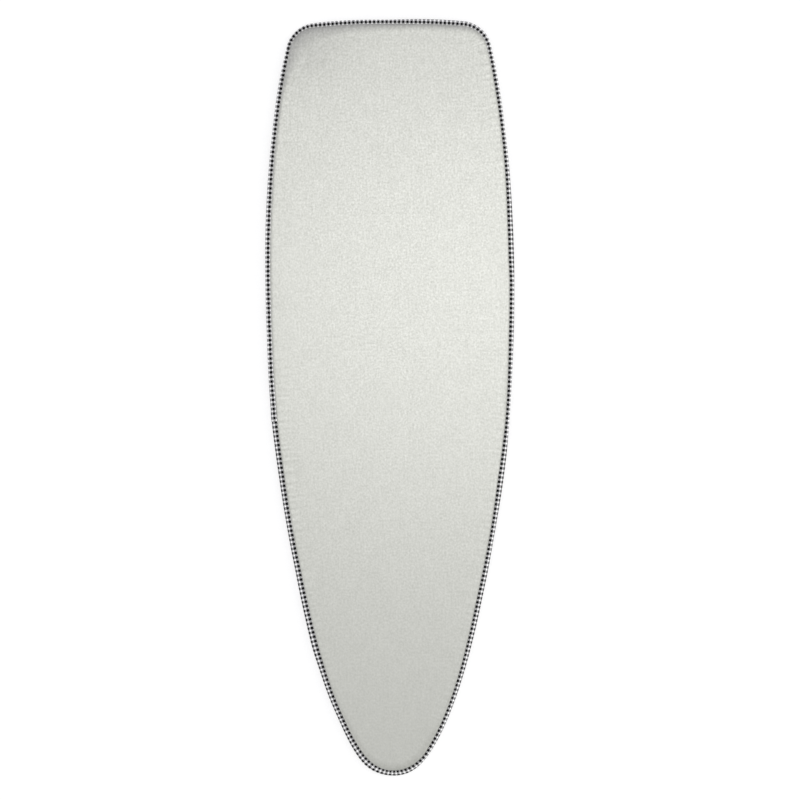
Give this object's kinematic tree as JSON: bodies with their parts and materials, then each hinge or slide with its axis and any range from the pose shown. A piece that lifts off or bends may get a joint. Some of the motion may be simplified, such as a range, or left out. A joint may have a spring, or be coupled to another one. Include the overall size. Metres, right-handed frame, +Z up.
{
  "type": "ironing board cover",
  "caption": "Padded ironing board cover in its fitted shape: silver heat-reflecting cotton face, foam and felt pad, and a checked binding folded round a hem elastic that draws it under the board.",
  "frame": {"origin": "on the surface that the hem rests on, under the middle of the cover's length and width", "axes": "+Y along the cover towards its blunt tail, -Y towards its nose, +X to the right with the tail away from the viewer, +Z up out of the silver face"},
  "size_m": [0.428, 1.3, 0.0264],
  "materials": {
    "metallised_cotton": "satin",
    "foam": "matte",
    "felt": "matte",
    "gingham_tape": "matte",
    "elastic": "matte"
  },
  "bodies": {
    "root": {"cover_fabric": "metallised_cotton", "foam_layer": "foam", "felt_layer": "felt", "binding_tape": "gingham_tape", "hem_elastic": "elastic"}
  },
  "joints": []
}
